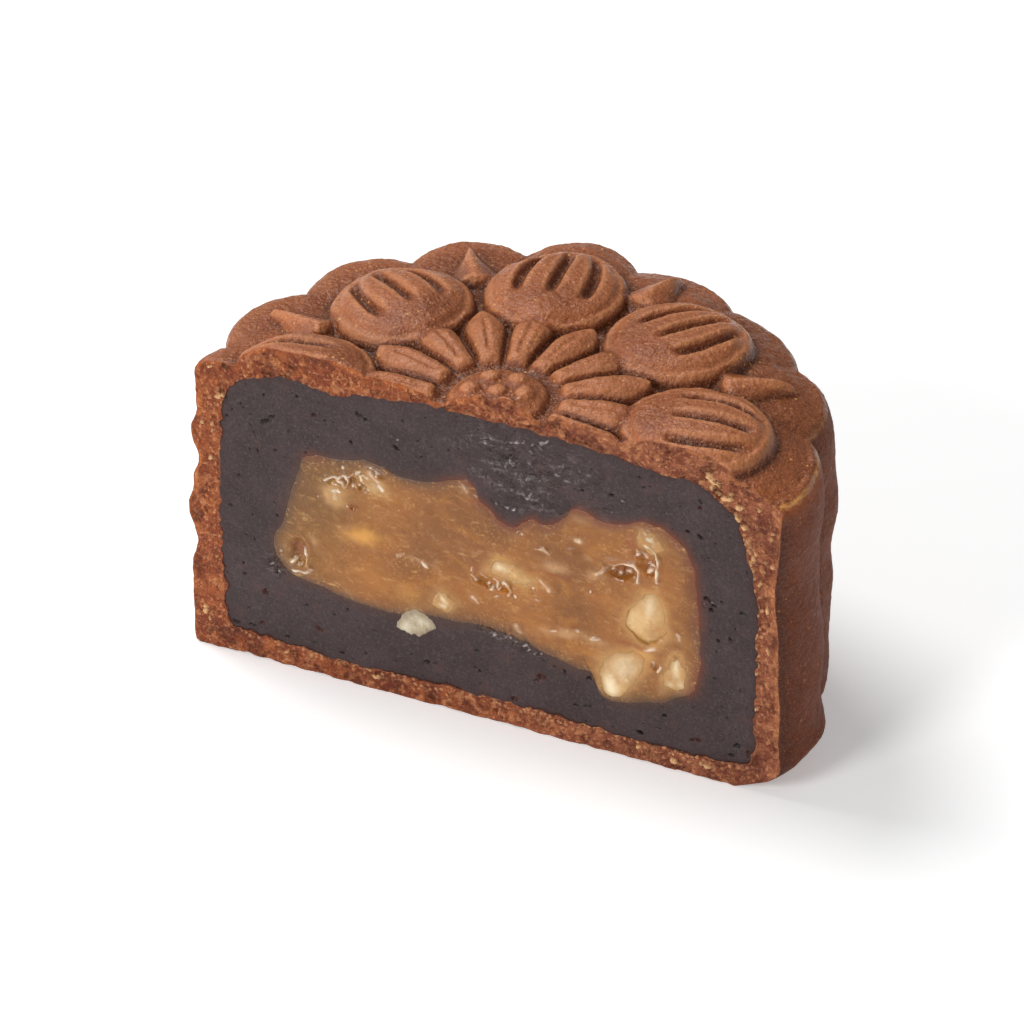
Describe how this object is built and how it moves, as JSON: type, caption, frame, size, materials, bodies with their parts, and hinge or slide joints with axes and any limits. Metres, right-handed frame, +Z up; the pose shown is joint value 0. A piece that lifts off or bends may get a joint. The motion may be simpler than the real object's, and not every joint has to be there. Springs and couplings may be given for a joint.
{
  "type": "mooncake",
  "caption": "Half of a round moulded mooncake with a scalloped crust, dark bean paste and a soft caramel core with chopped nuts, standing on its flat base.",
  "frame": {"origin": "the middle of the underside: the centre of the bounding box in plan, at its lowest level", "axes": "+X along the long edge of the cut face, towards its right end; -Y is the way the cut face looks; +Z up"},
  "size_m": [0.0514, 0.0276, 0.0304],
  "materials": {
    "crust": "baked brown pastry, satin, with fine golden specks",
    "paste": "dense near-black bean paste, finely pitted at the cut, softly moist",
    "core": "translucent caramel gel, moist and glossy at the cut",
    "nut": "cream-coloured chopped nut, satin"
  },
  "bodies": {
    "root": {"crust": "crust", "paste": "paste", "core": "core", "nut_1": "nut", "nut_2": "nut", "nut_3": "nut", "nut_4": "nut", "nut_5": "nut", "nut_6": "nut", "nut_7": "nut", "nut_8": "nut", "nut_9": "nut"}
  },
  "joints": []
}
